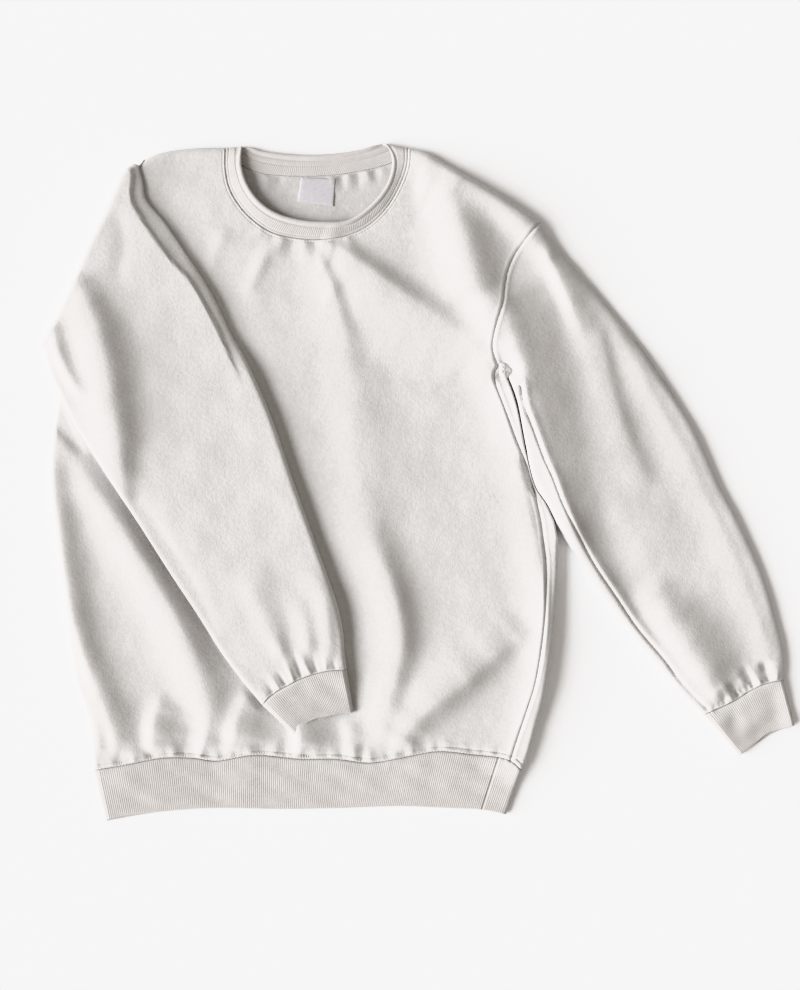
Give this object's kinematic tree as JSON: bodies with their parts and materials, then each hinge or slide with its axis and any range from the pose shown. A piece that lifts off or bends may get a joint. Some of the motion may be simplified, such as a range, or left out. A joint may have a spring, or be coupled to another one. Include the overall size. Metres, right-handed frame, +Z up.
{
  "type": "crewneck sweatshirt",
  "caption": "Crewneck sweatshirt laid flat with one sleeve folded across the front, ribbed neckband, cuffs and hem band.",
  "frame": {"origin": "on the surface that the garment lies on, under the middle of the body's width and near the middle of its height", "axes": "+Z up off the surface, +Y from the hem towards the neck, +X towards the sleeve that lies straight"},
  "size_m": [0.7883, 0.7094, 0.0199],
  "materials": {
    "fleece": "brushed cotton fleece, pale warm grey, matt",
    "rib": "doubled rib knit, pale warm grey, matt",
    "label": "plain woven tape, near white, slight sheen"
  },
  "bodies": {
    "root": {"front": "fleece", "back": "fleece", "sleeve_straight": "fleece", "sleeve_folded": "fleece", "neckband": "rib", "hem_band": "rib", "cuff_straight": "rib", "cuff_folded": "rib", "label": "label"}
  },
  "joints": []
}
